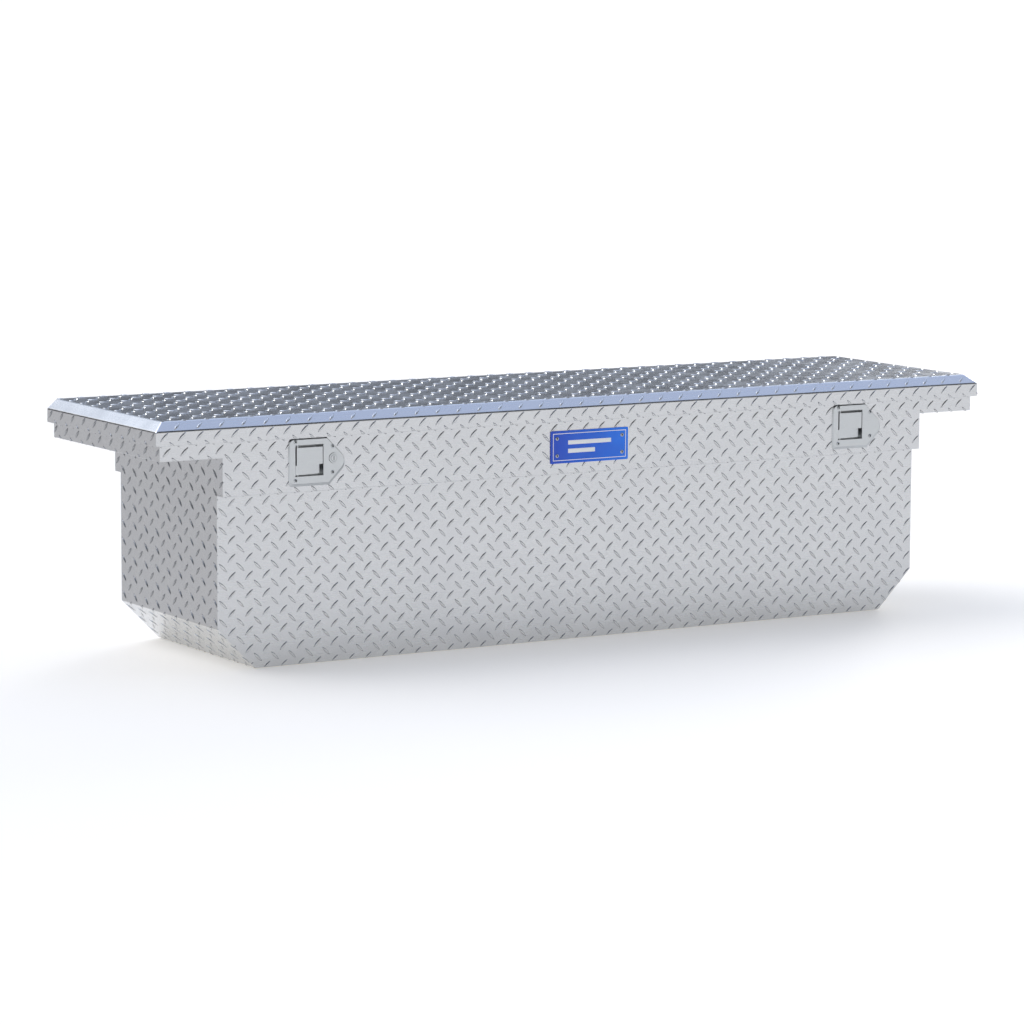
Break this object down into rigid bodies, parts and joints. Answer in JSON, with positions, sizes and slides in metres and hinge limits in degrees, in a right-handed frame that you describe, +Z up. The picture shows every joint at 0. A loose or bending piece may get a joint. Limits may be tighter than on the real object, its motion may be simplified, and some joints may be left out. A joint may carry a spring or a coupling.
{
  "type": "truck tool box",
  "caption": "Low-profile crossover tool box for a pickup bed: tread-plate tub on saddle wings, hinged lid on gas struts, paddle latches joined by a lock rod.",
  "frame": {"origin": "under the middle of the lid, at the level of the tub's floor (bottom centre of the bounding box)", "axes": "+X along the box, to the right seen from the front; -Y is the front, where the latches are; +Z up"},
  "size_m": [1.829, 0.464, 0.4645],
  "materials": {
    "tread_plate": "bright tread plate, satin to semi-gloss",
    "mill_aluminium": "mill finish sheet",
    "stainless": "brushed stainless steel",
    "zinc_steel": "zinc plated",
    "rubber": "matt black bulb seal",
    "black_paint": "black, semi-gloss",
    "blue_enamel": "gloss blue enamel",
    "foam": "rigid foam, hidden"
  },
  "bodies": {
    "tub": {"tub_wrap": "tread_plate", "front_panel": "tread_plate", "rear_panel": "tread_plate", "left_wing": "tread_plate", "right_wing": "tread_plate", "hinge_leaf_tub": "mill_aluminium", "weather_seal": "rubber", "hinge_pin": "zinc_steel", "lock_barrel": "stainless", "badge_plate": "blue_enamel", "badge_rivet_1": "stainless", "badge_rivet_2": "stainless", "badge_rivet_3": "stainless", "badge_rivet_4": "stainless", "left_latch_plate": "stainless", "left_paddle_pin": "stainless", "left_hook_pin": "stainless", "left_pawl_pin": "stainless", "left_latch_rivet_1": "stainless", "left_latch_rivet_2": "stainless", "left_latch_rivet_3": "stainless", "left_latch_rivet_4": "stainless", "left_latch_case": "zinc_steel", "left_strut_tub_bracket": "zinc_steel", "left_rod_guide": "black_paint", "right_latch_plate": "stainless", "right_paddle_pin": "stainless", "right_hook_pin": "stainless", "right_pawl_pin": "stainless", "right_latch_rivet_1": "stainless", "right_latch_rivet_2": "stainless", "right_latch_rivet_3": "stainless", "right_latch_rivet_4": "stainless", "right_latch_case": "zinc_steel", "right_strut_tub_bracket": "zinc_steel", "right_rod_guide": "black_paint"},
    "lid": {"lid_skin": "tread_plate", "lid_pan": "mill_aluminium", "lid_foam_core": "foam", "hinge_leaf_lid": "mill_aluminium", "left_striker": "zinc_steel", "right_striker": "zinc_steel", "left_strut_lid_bracket": "zinc_steel", "right_strut_lid_bracket": "zinc_steel"},
    "lock_rod": {"lock_rod": "zinc_steel"},
    "key_plug": {"lock_plug": "stainless", "lock_cam": "zinc_steel"},
    "left_strut_cylinder": {"left_strut_cylinder": "black_paint"},
    "left_strut_rod": {"left_strut_rod": "stainless"},
    "left_paddle": {"left_paddle": "stainless"},
    "left_hook": {"left_hook": "zinc_steel"},
    "left_pawl": {"left_pawl": "zinc_steel"},
    "right_strut_cylinder": {"right_strut_cylinder": "black_paint"},
    "right_strut_rod": {"right_strut_rod": "stainless"},
    "right_paddle": {"right_paddle": "stainless"},
    "right_hook": {"right_hook": "zinc_steel"},
    "right_pawl": {"right_pawl": "zinc_steel"}
  },
  "joints": [
    {"name": "lid_hinge", "type": "hinge", "parent": "tub", "child": "lid", "pos_m": [0, 0.2291, 0.4182], "axis": [-1, 0, 0], "range_deg": [0, 75]},
    {"name": "left_strut_swing", "type": "hinge", "parent": "tub", "child": "left_strut_cylinder", "pos_m": [-0.7475, 0.1491, 0.2482], "axis": [-1, 0, 0], "range_deg": [0, 21.21]},
    {"name": "left_strut_slide", "type": "slide", "parent": "left_strut_cylinder", "child": "left_strut_rod", "axis": [0, -0.169, 0.9856], "range_m": [0, 0.10566]},
    {"name": "right_strut_swing", "type": "hinge", "parent": "tub", "child": "right_strut_cylinder", "pos_m": [0.7475, 0.1491, 0.2482], "axis": [-1, 0, 0], "range_deg": [0, 21.21]},
    {"name": "right_strut_slide", "type": "slide", "parent": "right_strut_cylinder", "child": "right_strut_rod", "axis": [0, -0.169, 0.9856], "range_m": [0, 0.10566]},
    {"name": "left_paddle_pull", "type": "hinge", "parent": "tub", "child": "left_paddle", "pos_m": [-0.6247, -0.2222, 0.379], "axis": [0, 0, -1], "range_deg": [0, 32], "stiffness_Nm_per_rad": 0.6, "springref_deg": -2.86},
    {"name": "right_paddle_pull", "type": "hinge", "parent": "tub", "child": "right_paddle", "pos_m": [0.5834, -0.2222, 0.379], "axis": [0, 0, -1], "range_deg": [0, 32], "stiffness_Nm_per_rad": 0.6, "springref_deg": -2.86},
    {"name": "lock_rod_slide", "type": "slide", "parent": "tub", "child": "lock_rod", "axis": [1, 0, 0], "range_m": [0, 0.01378]},
    {"name": "left_pawl_turn", "type": "hinge", "parent": "tub", "child": "left_pawl", "pos_m": [-0.5781, -0.1952, 0.4], "axis": [0, -1, 0], "range_deg": [0, 34.22]},
    {"name": "right_pawl_turn", "type": "hinge", "parent": "tub", "child": "right_pawl", "pos_m": [0.63, -0.1952, 0.4], "axis": [0, -1, 0], "range_deg": [0, 34.22]},
    {"name": "left_hook_turn", "type": "hinge", "parent": "tub", "child": "left_hook", "pos_m": [-0.5991, -0.1952, 0.408], "axis": [0, 1, 0], "range_deg": [0, 40], "stiffness_Nm_per_rad": 0.2, "springref_deg": -11.46},
    {"name": "right_hook_turn", "type": "hinge", "parent": "tub", "child": "right_hook", "pos_m": [0.609, -0.1952, 0.408], "axis": [0, 1, 0], "range_deg": [0, 40], "stiffness_Nm_per_rad": 0.2, "springref_deg": -11.46},
    {"name": "key_turn", "type": "hinge", "parent": "tub", "child": "key_plug", "pos_m": [-0.5524, -0.2276, 0.3809], "axis": [0, 1, 0], "range_deg": [0, 90]}
  ],
  "couplings": [
    {"joint": "left_strut_swing", "follows": "lid_hinge", "ratio": 0.28275},
    {"joint": "left_strut_slide", "follows": "lid_hinge", "m_per_rad": 0.080716},
    {"joint": "right_strut_swing", "follows": "lid_hinge", "ratio": 0.28275},
    {"joint": "right_strut_slide", "follows": "lid_hinge", "m_per_rad": 0.080716},
    {"joint": "right_paddle_pull", "follows": "left_paddle_pull", "ratio": 1},
    {"joint": "lock_rod_slide", "follows": "left_paddle_pull", "m_per_rad": 0.024669},
    {"joint": "left_pawl_turn", "follows": "left_paddle_pull", "ratio": 1.0694},
    {"joint": "right_pawl_turn", "follows": "left_paddle_pull", "ratio": 1.0694}
  ]
}
